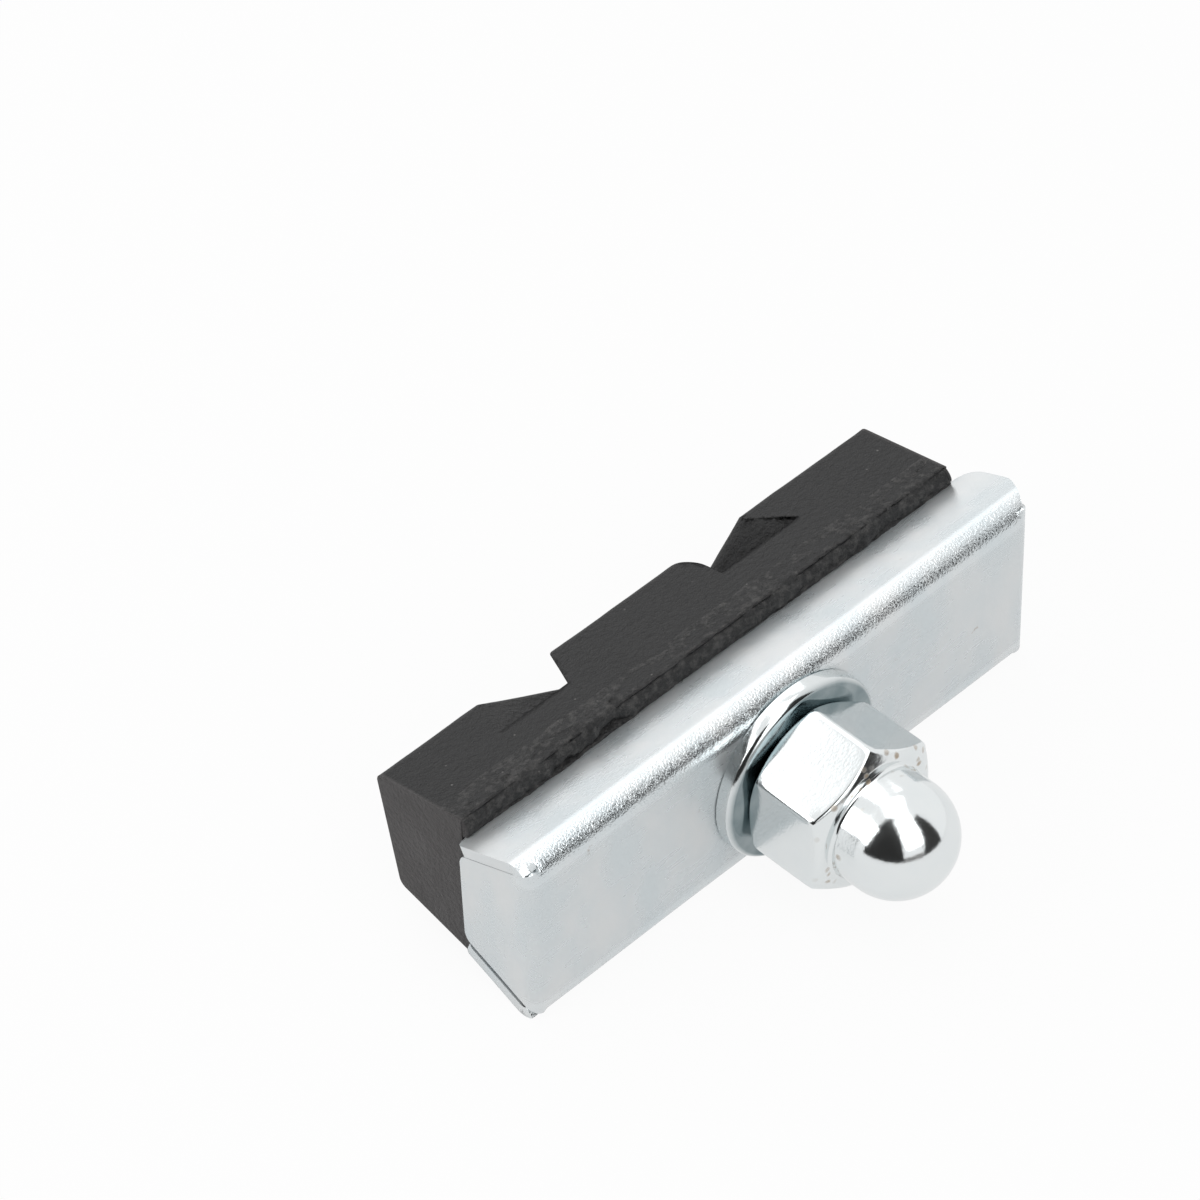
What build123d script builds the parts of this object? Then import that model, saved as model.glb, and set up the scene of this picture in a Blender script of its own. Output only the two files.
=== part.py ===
"""Bicycle rim brake pad: a moulded rubber block in a folded steel channel, with a stud, washer and cap nut.

Frame: the origin is where the stud's axis leaves the outer face of the holder's web.
X runs along the pad, +Y points to the working face that rubs on the rim, -Y to the nut, and Z is up.
Lengths are in millimetres.
"""

import os
from math import atan, cos, radians, sin, sqrt, tan

from build123d import *

os.makedirs("parts", exist_ok=True)

# Holder, one piece of folded steel sheet
holder_length = 44.0
holder_height = 15.3
sheet = 0.8
channel_depth = 6.4
lip_height = 8.6
bend_radius = 1.3
lip_corner_radius = 1.3
flange_foot_round = 0.5
flange_overhang = 1.1
overhang_cut_length = 1.8
overhang_cut_depth = 2.9
overhang_cut_round = 2.0
tab_top_gap = 0.1
tab_bottom_gap = 0.35
tab_lip_step = 0.2
tab_corner_radius = 0.5
tab_root_round = 0.5
tab_bend_radius = 1.0
tab_flat = 0.1

# Rubber block, one moulding
rubber_length = 42.5
rubber_depth = 14.4
face_set_back = 1.5
rubber_step_height = 12.0
rubber_face_height = 9.0
rubber_step_gap = 0.3
rubber_fit = 0.05
foot_end_gap = 0.4
face_edge_radius = 0.7

# Crossing grooves in the working face, X places from the stud's axis
groove_depth = 3.6
tongue_left = -6.9
tongue_left_floor = -8.5
tongue_right = 4.9
tongue_right_floor = 5.1
tongue_tip_middle = -0.8
tongue_tip_width = 2.6
tongue_tip_drop = 3.1
tongue_left_round = 1.1
tongue_right_round = 2.3
crease_left = -12.7
flank_left_draft = 0.0
crease_right = 9.2
flank_right_draft = 1.9
end_tip_left = -3.3
end_tip_right = 2.4
end_tip_round = 0.8
flank_round = 0.7
edge_pick_margin = 0.1

# Stud, washer and cap nut, all M6
stud_diameter = 6.0
stud_head_diameter = 9.0
stud_head_thickness = 1.6
stud_neck_square = 6.0
stud_length = 9.0
stud_end_chamfer = 0.6
neck_clearance = 0.05
head_clearance = 0.3
washer_diameter = 13.0
washer_bore_clearance = 0.4
washer_thickness = 1.2
washer_rim_round = 0.45
nut_across_flats = 10.0
nut_corner_height = 5.5
nut_chamfer_angle = 30.0
nut_chamfer_circle = 9.3
nut_neck_height = 1.75
nut_dome_diameter = 8.0
nut_neck_fillet = 0.25
nut_turn = -2.0
thread_clearance = 0.05
nut_tip_clearance = 0.6

# Sizes that follow from those above
half_length = holder_length / 2
half_height = holder_height / 2
flange_slope = (holder_height - lip_height) / 2 / channel_depth
flange_lean = atan(flange_slope)
half_face = rubber_face_height / 2
rubber_foot_length = holder_length - 2 * (sheet + foot_end_gap)


def outer_half_height(y):
    """Half height of the channel's outer surface at the distance y from the web's outer face."""
    return half_height - flange_slope * y


def inner_half_height(y, gap=0.0):
    """Half height of the channel's inner surface at y, less a gap square to that surface."""
    return outer_half_height(y) - (sheet + gap) / cos(flange_lean)


# Holder: the channel is a strip bent twice, with its flanges rounded off at both ends
overhang_end = half_length + flange_overhang
slit_start = half_length - tab_bend_radius - tab_flat
with BuildPart() as channel:
    with BuildSketch(Plane.YZ):
        with BuildLine():
            FilletPolyline(
                (channel_depth, lip_height / 2),
                (0, half_height),
                (0, -half_height),
                (channel_depth, -lip_height / 2),
                radius=bend_radius,
            )
            offset(amount=sheet, side=Side.LEFT)
        make_face()
    extrude(amount=overhang_end, both=True)
    with BuildSketch(Plane.XY) as flange_outline:
        with BuildLine():
            Polyline(
                (-half_length, 0),
                (overhang_end - overhang_cut_length, 0),
                (overhang_end, overhang_cut_depth),
                (overhang_end, channel_depth),
                (-half_length, channel_depth),
                close=True,
            )
        make_face()
        fillet(flange_outline.vertices().group_by(Axis.Y)[-1], radius=lip_corner_radius)
        fillet(flange_outline.vertices().sort_by_distance((-half_length, 0))[0], radius=flange_foot_round)
        cut_corner = (overhang_end, overhang_cut_depth)
        fillet(flange_outline.vertices().sort_by_distance(cut_corner)[0], radius=overhang_cut_round)
    extrude(amount=half_height, both=True, mode=Mode.INTERSECT)

# Room for an end tab: the web and the space inside the flanges, slit to where the tab leaves the web
with BuildPart() as tab_room:
    with BuildSketch(Plane.YZ.offset(slit_start)):
        with BuildLine():
            Polyline(
                (0, -inner_half_height(0)),
                (channel_depth, -inner_half_height(channel_depth)),
                (channel_depth, inner_half_height(channel_depth)),
                (0, inner_half_height(0)),
                close=True,
            )
        make_face()
    extrude(amount=overhang_end - slit_start)

# End tab: a strip bent up from the web between the flanges
tab_reach = channel_depth - tab_lip_step
with BuildPart() as end_tab:
    with BuildSketch(Plane.XY):
        with BuildLine():
            FilletPolyline((slit_start, 0), (half_length, 0), (half_length, tab_reach), radius=tab_bend_radius)
            offset(amount=sheet, side=Side.LEFT)
        make_face()
    extrude(amount=half_height, both=True)
    with BuildSketch(Plane.YZ.offset(slit_start)) as tab_outline:
        with BuildLine():
            Polyline(
                (0, -inner_half_height(0, tab_bottom_gap)),
                (tab_reach, -inner_half_height(tab_reach, tab_bottom_gap)),
                (tab_reach, inner_half_height(tab_reach, tab_top_gap)),
                (0, inner_half_height(0, tab_top_gap)),
                close=True,
            )
        make_face()
        fillet(tab_outline.vertices().sort_by(Axis.X)[:2], radius=tab_root_round)
        fillet(tab_outline.vertices().sort_by(Axis.X)[-2:], radius=tab_corner_radius)
    extrude(amount=half_length - slit_start, mode=Mode.INTERSECT)

with BuildPart() as holder:
    add(channel.part)
    add(tab_room.part, mode=Mode.SUBTRACT)
    add(mirror(tab_room.part, about=Plane.YZ), mode=Mode.SUBTRACT)
    add(end_tab.part)
    add(mirror(end_tab.part, about=Plane.YZ))
    with BuildSketch(Plane.XZ):
        Rectangle(stud_neck_square + 2 * neck_clearance, stud_neck_square + 2 * neck_clearance)
    extrude(amount=-sheet, mode=Mode.SUBTRACT)
holder.part.label = "holder"
export_step(holder.part, "parts/holder.step")


# Rubber block: a foot held by the channel and a tapering block that steps out over its lips
lip_inside = inner_half_height(channel_depth, rubber_fit)
block_start = channel_depth + rubber_step_gap
half_step = rubber_step_height / 2
side_slope = (rubber_step_height - rubber_face_height) / 2 / (rubber_depth - block_start)


def side_half_height(y):
    """Half height of the block's tapering sides at y."""
    return half_step - side_slope * (y - block_start)


with BuildPart() as rubber_foot:
    foot_start = sheet + rubber_fit
    with BuildSketch(Plane.YZ) as foot_section:
        with BuildLine():
            foot_half = inner_half_height(foot_start, rubber_fit)
            Polyline(
                (foot_start, -foot_half),
                (channel_depth, -lip_inside),
                (block_start, -lip_inside),
                (block_start, lip_inside),
                (channel_depth, lip_inside),
                (foot_start, foot_half),
                close=True,
            )
        make_face()
        fillet(foot_section.vertices().sort_by(Axis.X)[:2], radius=bend_radius)
    extrude(amount=rubber_foot_length / 2, both=True)
    with BuildSketch(Plane.XZ.offset(-foot_start)):
        Circle(stud_head_diameter / 2 + head_clearance)
    extrude(amount=-(stud_head_thickness + head_clearance - rubber_fit), mode=Mode.SUBTRACT)

with BuildPart() as block:
    with BuildSketch(Plane.YZ) as block_section:
        with BuildLine():
            Polyline(
                (block_start, -half_step),
                (rubber_depth - face_set_back, -half_face),
                (rubber_depth, half_face),
                (block_start, half_step),
                close=True,
            )
        make_face()
        fillet(block_section.vertices().sort_by(Axis.X)[-2:], radius=face_edge_radius)
    extrude(amount=rubber_length / 2, both=True)


def wall_point(tip, edge, height):
    """Point at a height on the line from tip through edge, both given as X and Z."""
    share = (height - tip[1]) / (edge[1] - tip[1])
    return tip[0] + share * (edge[0] - tip[0]), height


def tongue_points(y, left, right):
    """Tongue outline at y, from its corners on the block's side down to its blunt tip."""
    tip_z = half_face - tongue_tip_drop
    side = side_half_height(y)
    tip_left = (tongue_tip_middle - tongue_tip_width / 2, tip_z)
    tip_right = (tongue_tip_middle + tongue_tip_width / 2, tip_z)
    high_left = wall_point(tip_left, (left, side), half_step)
    high_right = wall_point(tip_right, (right, side), half_step)
    return [high_left, tip_left, tip_right, high_right]


def end_piece_points(tip, crease, end):
    """Outline of the wedge that an end of the block makes between the two grooves."""
    corner_x, corner_z = wall_point((tip, 0), (crease, half_face), half_step)
    return [(tip, 0), (corner_x, corner_z), (end, corner_z), (end, -corner_z), (corner_x, -corner_z)]


# The crossing grooves leave four islands in the block's top layer: two tongues and two end pieces
groove_floor = rubber_depth - groove_depth
island_start = groove_floor - 2 * face_set_back
island_end = rubber_depth + face_set_back
face_lean = atan(face_set_back / rubber_face_height)
face_middle = rubber_depth - face_set_back / 2
face_axis = Axis((0, face_middle, 0), (0, cos(face_lean), -sin(face_lean)))
face_plane = Plane(origin=face_axis.position, x_dir=(1, 0, 0), z_dir=face_axis.direction)
face_mirror = Plane(origin=face_axis.position, x_dir=(1, 0, 0), z_dir=(0, sin(face_lean), cos(face_lean)))


def wall_place(y, at_face, at_floor):
    """X of a wall on the block's side at y, from its places at the working face and the groove's floor."""
    return at_face + (at_floor - at_face) * (rubber_depth - y) / groove_depth


with BuildPart() as tongue:
    for y in (island_start, island_end):
        left = wall_place(y, tongue_left, tongue_left_floor)
        right = wall_place(y, tongue_right, tongue_right_floor)
        with BuildSketch(Plane.XZ.offset(-y)):
            with BuildLine():
                Polyline(*tongue_points(y, left, right), close=True)
            make_face()
    loft(ruled=True)
with BuildPart() as tongue_side:
    with BuildSketch(Plane.XY) as tongue_profile:
        with BuildLine():
            Polyline(
                (wall_place(island_start, tongue_left, tongue_left_floor), island_start),
                (tongue_left, rubber_depth),
                (tongue_right, rubber_depth),
                (wall_place(island_start, tongue_right, tongue_right_floor), island_start),
                close=True,
            )
        make_face()
        fillet(tongue_profile.vertices().sort_by_distance((tongue_left, rubber_depth))[0], tongue_left_round)
        fillet(tongue_profile.vertices().sort_by_distance((tongue_right, rubber_depth))[0], tongue_right_round)
    extrude(amount=half_step)
with BuildPart() as rounded_tongue:
    add(tongue.part)
    add(tongue_side.part, mode=Mode.INTERSECT)


def end_piece(tip, crease, draft, end):
    """One end piece: a lofted wedge cut by the working face, with its tip and flank edges rounded."""
    with BuildPart() as piece:
        for y in (island_start, island_end):
            shift = draft * (rubber_depth - y) / groove_depth
            with BuildSketch(Plane.XZ.offset(-y)):
                with BuildLine():
                    Polyline(*end_piece_points(tip + shift, crease + shift, end), close=True)
                make_face()
        loft(ruled=True)
        split(bisect_by=face_plane, keep=Keep.BOTTOM)
        tip_edge = piece.edges().sort_by_distance((tip + draft, groove_floor, 0))[0]
        fillet(tip_edge, radius=end_tip_round)
        face_edges = piece.faces().sort_by(face_axis)[-1].edges()
        flank_edges = face_edges.filter_by(lambda edge: abs(edge.center().Z) < half_step - edge_pick_margin)
        flank_edges = flank_edges.filter_by(lambda edge: abs(edge.center().X - end) > edge_pick_margin)
        fillet(flank_edges, radius=flank_round)
    return piece.part


with BuildPart() as grooves:
    with BuildSketch(Plane.YZ):
        with BuildLine():
            high = rubber_depth + (half_step - half_face) * tan(face_lean)
            low = high - rubber_step_height * tan(face_lean)
            Polyline(
                (low - groove_depth, -half_step),
                (low, -half_step),
                (high, half_step),
                (high - groove_depth, half_step),
                close=True,
            )
        make_face()
    extrude(amount=rubber_length / 2, both=True)
    add(rounded_tongue.part, mode=Mode.SUBTRACT)
    add(mirror(rounded_tongue.part, about=face_mirror), mode=Mode.SUBTRACT)
    add(end_piece(end_tip_left, crease_left, -flank_left_draft, -rubber_length / 2), mode=Mode.SUBTRACT)
    add(end_piece(end_tip_right, crease_right, flank_right_draft, rubber_length / 2), mode=Mode.SUBTRACT)

with BuildPart() as rubber_block:
    add(block.part)
    add(grooves.part, mode=Mode.SUBTRACT)
    add(rubber_foot.part)
rubber_block.part.label = "rubber_block"
export_step(rubber_block.part, "parts/rubber_block.step")

# Stud: a flat head behind the rubber, a square neck that can't turn in the web, and a threaded shank
with BuildPart() as stud:
    with BuildSketch(Plane.XZ.offset(-sheet)):
        Circle(stud_head_diameter / 2)
    extrude(amount=-stud_head_thickness)
    with BuildSketch(Plane.XZ):
        Rectangle(stud_neck_square, stud_neck_square)
    extrude(amount=-sheet)
    with BuildSketch(Plane.XZ):
        Circle(stud_diameter / 2)
    extrude(amount=stud_length)
    chamfer(stud.edges().sort_by(Axis.Y)[0], length=stud_end_chamfer)
stud.part.label = "stud"
export_step(stud.part, "parts/stud.step")

# Washer: flat against the web, with its rim rounded over on the nut's side as it was stamped
with BuildPart() as washer:
    with BuildSketch(Plane.XZ):
        Circle(washer_diameter / 2)
        Circle(stud_diameter / 2 + washer_bore_clearance / 2, mode=Mode.SUBTRACT)
    extrude(amount=washer_thickness)
    outer_rim = washer.edges().filter_by(GeomType.CIRCLE).sort_by(SortBy.RADIUS)[-2:].sort_by(Axis.Y)[0]
    fillet(outer_rim, radius=washer_rim_round)
washer.part.label = "washer"
export_step(washer.part, "parts/washer.step")

# Cap nut: a hexagon with both ends turned to a cone, a neck and a round dome over a blind hole
nut_seat = -washer_thickness
corner_radius = nut_across_flats / sqrt(3)
cone_drop = (corner_radius - nut_chamfer_circle / 2) * tan(radians(nut_chamfer_angle))
hex_height = nut_corner_height + cone_drop
dome_radius = nut_dome_diameter / 2
dome_centre = nut_seat - hex_height - nut_neck_height
with BuildPart() as cap_nut:
    with BuildSketch(Plane.XZ.offset(-nut_seat)):
        RegularPolygon(nut_across_flats / 2, 6, major_radius=False, rotation=30 + nut_turn)
    extrude(amount=hex_height)
    with BuildSketch(Plane.XY):
        with BuildLine():
            Polyline(
                (0, nut_seat),
                (nut_chamfer_circle / 2, nut_seat),
                (corner_radius, nut_seat - cone_drop),
                (corner_radius, nut_seat - nut_corner_height),
                (nut_chamfer_circle / 2, nut_seat - hex_height),
                (0, nut_seat - hex_height),
                close=True,
            )
        make_face()
    revolve(axis=Axis.Y, mode=Mode.INTERSECT)
    with BuildSketch(Plane.XZ.offset(-(nut_seat - hex_height))):
        Circle(dome_radius)
    extrude(amount=nut_neck_height)
    with Locations((0, dome_centre, 0)):
        Sphere(dome_radius)
    nut_circles = cap_nut.edges().filter_by(GeomType.CIRCLE)
    neck_foot = nut_circles.sort_by_distance((0, nut_seat - hex_height, dome_radius))[0]
    fillet(neck_foot, radius=nut_neck_fillet)
    with BuildSketch(Plane.XZ.offset(-nut_seat)):
        Circle(stud_diameter / 2 + thread_clearance)
    extrude(amount=stud_length - washer_thickness + nut_tip_clearance, mode=Mode.SUBTRACT)
cap_nut.part.label = "cap_nut"
export_step(cap_nut.part, "parts/cap_nut.step")

for piece in (holder, rubber_block, stud, washer, cap_nut):
    size = piece.part.bounding_box().size
    print(piece.part.label, f"{piece.part.volume:.1f} mm3", f"{size.X:.2f} x {size.Y:.2f} x {size.Z:.2f} mm")
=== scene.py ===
# %% [markdown]
# # A rim brake pad for a bicycle
# A moulded rubber block sits in a folded steel holder, with a washer and a cap nut on its stud.
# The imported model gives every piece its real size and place. This lesson gives each piece its finish,
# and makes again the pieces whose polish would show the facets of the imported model.

# %% The frame
from contextlib import contextmanager
from math import cos, pi, radians, sin, sqrt, tan

import bmesh
import bpy
import numpy as np
from mathutils import Matrix, Vector


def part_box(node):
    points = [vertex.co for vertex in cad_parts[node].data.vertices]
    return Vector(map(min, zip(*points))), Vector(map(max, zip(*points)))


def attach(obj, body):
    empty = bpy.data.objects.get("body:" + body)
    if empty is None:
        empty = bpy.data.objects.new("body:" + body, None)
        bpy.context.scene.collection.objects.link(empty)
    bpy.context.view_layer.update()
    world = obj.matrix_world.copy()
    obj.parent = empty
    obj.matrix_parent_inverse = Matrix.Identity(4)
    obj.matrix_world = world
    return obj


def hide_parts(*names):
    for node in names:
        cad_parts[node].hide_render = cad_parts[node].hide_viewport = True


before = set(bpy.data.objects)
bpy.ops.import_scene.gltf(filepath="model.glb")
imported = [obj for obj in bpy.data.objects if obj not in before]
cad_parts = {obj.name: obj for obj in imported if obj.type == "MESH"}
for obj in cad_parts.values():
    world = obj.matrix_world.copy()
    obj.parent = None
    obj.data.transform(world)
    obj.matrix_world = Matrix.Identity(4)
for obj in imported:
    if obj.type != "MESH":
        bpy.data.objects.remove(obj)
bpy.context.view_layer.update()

MM = 0.001

# %% [markdown]
# ## Surfaces on a grid
# A folded sheet, a turned nut or a stamped washer is the same idea: points worked out over two
# parameters, as rows by columns. One helper turns such a grid into faces. Columns may close into a
# ring, and a row whose points fall together is a pole, which merging closes.

# %% Grids into meshes


def grid_faces(rows, columns, ring, first=0):
    """Corner numbers of the four-sided faces between neighbouring rows and columns of a grid."""
    across = columns if ring else columns - 1
    r, c = np.meshgrid(np.arange(rows - 1), np.arange(across), indexing="ij")
    here = r * columns + c
    beside = r * columns + (c + 1) % columns
    return first + np.stack([here, beside, beside + columns, here + columns], axis=-1).reshape(-1, 4)


def smooth(mesh):
    """Smooth shading on every face."""
    mesh.polygons.foreach_set("use_smooth", np.ones(len(mesh.polygons), bool))
    mesh.update()


@contextmanager
def edited(mesh):
    """Lends a mesh out as a bmesh, and writes it back at the end of the block."""
    work = bmesh.new()
    work.from_mesh(mesh)
    yield work
    work.to_mesh(mesh)
    work.free()


def in_scene(name, data):
    """A new object with a mesh, a lamp or a camera as its data, in the scene."""
    made = bpy.data.objects.new(name, data)
    bpy.context.scene.collection.objects.link(made)
    return made


def mesh_from_grids(name, grids, ring=False, merge=1e-7):
    """One object out of grids of points, each rows by columns by three, with points that meet merged."""
    points, faces, first = [], [], 0
    for grid in grids:
        rows, columns = grid.shape[:2]
        points.append(grid.reshape(-1, 3))
        faces.append(grid_faces(rows, columns, ring, first))
        first += rows * columns
    points, faces = np.concatenate(points), np.concatenate(faces)
    mesh = bpy.data.meshes.new(name)
    mesh.from_pydata(points.tolist(), [], faces.tolist())
    with edited(mesh) as work:
        bmesh.ops.remove_doubles(work, verts=work.verts, dist=merge)
        bmesh.ops.dissolve_degenerate(work, edges=work.edges, dist=merge)
    smooth(mesh)
    return in_scene(name, mesh)


def face_outwards(piece):
    """Recalculates the normals of a closed mesh so that they point out of it."""
    with edited(piece.data) as work:
        bmesh.ops.recalc_face_normals(work, faces=work.faces)


def bake_modifiers(piece):
    """Replaces the mesh by what its modifiers make of it, and drops the modifiers."""
    graph = bpy.context.evaluated_depsgraph_get()
    finished = bpy.data.meshes.new_from_object(piece.evaluated_get(graph))
    piece.modifiers.clear()
    piece.data = finished


def point_values(piece, kind="co"):
    """The places or the normals of a piece's points, as rows of three numbers."""
    values = np.empty(len(piece.data.vertices) * 3)
    piece.data.vertices.foreach_get(kind, values)
    return values.reshape(-1, 3)


def move_points(piece, places):
    """Moves a piece's points to new places."""
    piece.data.vertices.foreach_set("co", places.ravel())
    piece.data.update()


def report(piece):
    """Prints a piece's size in millimetres and its number of triangles."""
    piece.data.calc_loop_triangles()
    size = np.ptp(point_values(piece), axis=0) / MM
    print(piece.name, np.round(size, 2), "mm,", len(piece.data.loop_triangles), "triangles")


# %% [markdown]
# Nothing stamped or moulded is perfectly even. This noise gives each corner of a lattice of cells a
# height, and blends the heights smoothly inside each cell, so one formula serves both the dents in
# steel and the lumps in rubber, and it is the same on every run.

# %% Smooth noise in space


def lattice_noise(points, cell, seed=0.0):
    """Smooth noise from -1 to 1: heights at the corners of cells, eased by 3t^2 - 2t^3 in between."""
    scaled = points / cell
    corner = np.floor(scaled)
    part = scaled - corner
    ease = part * part * (3 - 2 * part)
    total = np.zeros(points.shape[:-1])
    for step in np.ndindex(2, 2, 2):
        turned = np.sin((corner + step) @ np.array([12.9898, 78.233, 37.719]) + seed) * 43758.5453
        height = 2 * (turned - np.floor(turned)) - 1
        total += height * np.prod(np.where(step, ease, 1 - ease), axis=-1)
    return total


# %% [markdown]
# ## The holder
# The real holder is one sheet of zinc-plated steel, 0.8 mm thick, bent along both long sides and
# folded up at both ends. Its outer skin is worked out here as strips that share their edge points:
# the web, a flange on each side that goes round a bend, and a tab at each end. Solidify then gives
# the skin its thickness, and a small bevel takes the sharpness off the sheared edges.
#
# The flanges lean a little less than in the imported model, so their lips stand 0.45 mm further out.
# With this lean they mirror the tent about as brightly as in the photograph.

# %% The holder's sizes
holder_low, holder_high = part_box("holder")
sheet = 0.8 * MM
half_length = -holder_low.x
overhang_end = holder_high.x
depth = holder_high.y
half_height = 7.5 * MM
lip_half_height = 4.75 * MM
bend = 1.3 * MM
tab_bend = 1.0 * MM
tab_below_lip = 0.2 * MM
tab_reach = depth - tab_below_lip
tab_flat = 0.1 * MM
slit_start = half_length - tab_bend - tab_flat
lean = (half_height - lip_half_height) / depth
flange_angle = pi / 2 + np.arctan(lean)
web_half = half_height - bend * tan(flange_angle / 2)
print("The bend turns", round(np.degrees(flange_angle), 1), "degrees")
print("The web is flat over", round(2 * web_half / MM, 2), "mm")

# %% [markdown]
# The section across the holder is a flat web, an arc and a straight flange on each side. Tab and
# flange are one sheet up to the slit between them, so a search along the arc finds the point where
# they part, and the section gets a point exactly there.

# %% The section across the holder


def inner_half_height(y):
    """Half height of the space between the flanges' inner faces at depth y."""
    return half_height - sheet / cos(np.arctan(lean)) - lean * y


def bend_points(turn):
    """Y and Z on the bend's outer arc after a turn from the web's direction."""
    return bend * (1 - np.cos(turn)), web_half + bend * np.sin(turn)


trial_turn = np.linspace(0, flange_angle, 4000)
trial_y, trial_z = bend_points(trial_turn)
split_turn = trial_turn[np.argmax(trial_z > inner_half_height(trial_y))]


def half_section(steps=(26, 12, 14, 30)):
    """Y and Z from the web's middle to the lip, and the number of the point where tab and flange part."""
    web, first_arc, second_arc, flange = steps
    turn = np.concatenate([
        np.linspace(0, split_turn, first_arc)[1:],
        np.linspace(split_turn, flange_angle, second_arc)[1:],
    ])
    arc_y, arc_z = bend_points(turn)
    rise = np.linspace(0, 1, flange)[1:]
    flange_y = arc_y[-1] + rise * (depth - arc_y[-1])
    flange_z = arc_z[-1] + rise * (lip_half_height - arc_z[-1])
    y = np.concatenate([np.zeros(web), arc_y, flange_y])
    z = np.concatenate([np.linspace(0, web_half, web), arc_z, flange_z])
    return y, z, web + first_arc - 2


half_y, half_z, parting = half_section()
section_y = np.concatenate([half_y[:0:-1], half_y])
section_z = np.concatenate([-half_z[:0:-1], half_z])
middle = len(half_y) - 1
print("Section of", len(section_y), "points; tab and flange part at z", round(half_z[parting] / MM, 2), "mm")

# %% [markdown]
# Three kinds of strip share the section's points, so that merging joins them into one sheet: the body
# between the slits, the four ends of the flanges, and the two tabs. The far ends of the flanges are
# cut on a slant and stand out past the tab, as on the real holder. Where a tab leaves the body it
# still has the body's curl, which it loses within a millimetre.

# %% The three kinds of strip


def body_skin(rows=210):
    """The whole section carried along X between the slits, with closer rows towards both ends."""
    share = np.linspace(-1, 1, rows)
    x = (slit_start * share * (3 - share**2) / 2)[:, None]
    return np.stack([x + 0 * section_y, section_y + 0 * x, section_z + 0 * x], axis=-1)


def drawn_back(distance, radius):
    """How far a round corner draws an edge back, at a distance d from its end: r - sqrt(r^2 - (r - d)^2)."""
    into = np.clip(radius - distance, 0, radius)
    return radius - np.sqrt(radius**2 - into**2)


def near_outline(y, foot=0.5 * MM, lip=0.5 * MM):
    """Distance from the middle at which the near flange ends, with round corners at its foot and lip."""
    return half_length - drawn_back(y, foot) - drawn_back(depth - y, lip)


def far_outline(y, lip=1.3 * MM, cut_length=1.8 * MM, cut_depth=2.9 * MM, softness=0.008):
    """Distance at which the far flange ends: a slanted foot that turns softly upright, and a round lip."""
    below = 1 - y / cut_depth
    slant = cut_length * (below + np.sqrt(below**2 + softness)) / 2
    return overhang_end - slant - drawn_back(depth - y, lip)


def flange_end_skin(side, end, rows=18, least=0.05 * MM):
    """The section from the parting point to the lip, run out from the slit to the flange's outline."""
    y, z = half_y[parting:], half_z[parting:]
    outline = far_outline if end > 0 else near_outline
    reach = np.maximum(outline(y), slit_start + least)
    closing = np.sin(np.linspace(0, pi / 2, rows))[:, None]
    x = end * (slit_start + (reach - slit_start) * closing)
    return np.stack([x, y + 0 * x, side * z + 0 * x], axis=-1)


def tab_skin(end, top_gap=0.1 * MM, bottom_gap=0.35 * MM, corner=0.5 * MM, curl_length=0.9 * MM):
    """An end tab: it leaves the web's section, flattens, turns up round its bend and ends below the lips."""
    turn = np.linspace(0, pi / 2, 16)
    rise = np.linspace(tab_bend, tab_reach, 34)[1:]
    lead = half_length - tab_bend
    upright = np.full(len(rise), half_length)
    x = np.concatenate([[slit_start], lead + tab_bend * np.sin(turn), upright])[:, None]
    y = np.concatenate([[0.0], tab_bend * (1 - np.cos(turn)), rise])[:, None]
    tilt = np.concatenate([[0.0], turn, np.full(len(rise), pi / 2)])[:, None]
    steps = np.hypot(np.diff(x[:, 0]), np.diff(y[:, 0]))
    travelled = np.concatenate([[0.0], np.cumsum(steps)])[:, None]
    curl = np.clip(1 - travelled / curl_length, 0, 1) ** 2
    across = slice(middle - parting, middle + parting + 1)
    own_y, own_z = section_y[across], section_z[across]
    share = (own_z / half_z[parting] + 1) / 2
    high = inner_half_height(y) - top_gap - drawn_back(tab_reach - y, corner)
    low = -inner_half_height(y) + bottom_gap + drawn_back(tab_reach - y, corner)
    z = curl * own_z + (1 - curl) * (low + share * (high - low))
    lift = curl * own_y
    return np.stack([end * (x - np.sin(tilt) * lift), y + np.cos(tilt) * lift, z], axis=-1)


# %% [markdown]
# A press leaves a sheet a little uneven, and on polished metal the reflections show it. So the skin
# gets shallow dents, pushed inwards only, before it gets its thickness. Where the near slit ends, the
# punch has also squeezed up a small bead of metal with a ring-shaped dent round it.

# %% The holder as one folded sheet


def look_away(piece, axis):
    """Recalculates an open skin's normals, and turns them all if the nearest face looks along +axis."""
    with edited(piece.data) as work:
        bmesh.ops.recalc_face_normals(work, faces=work.faces)
        nearest = min(work.faces, key=lambda face: face.calc_center_median().length)
        if nearest.normal.dot(axis) > 0:
            bmesh.ops.reverse_faces(work, faces=work.faces)


def push_along_normals(piece, relief):
    """Moves each point along its normal by relief(places), a function of the points' places."""
    places, normals = point_values(piece), point_values(piece, "normal")
    move_points(piece, places + normals * relief(places)[:, None])


def keep_inside(piece, low, high):
    """Clips a piece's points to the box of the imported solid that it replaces."""
    move_points(piece, np.clip(point_values(piece), np.array(low), np.array(high)))


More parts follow.
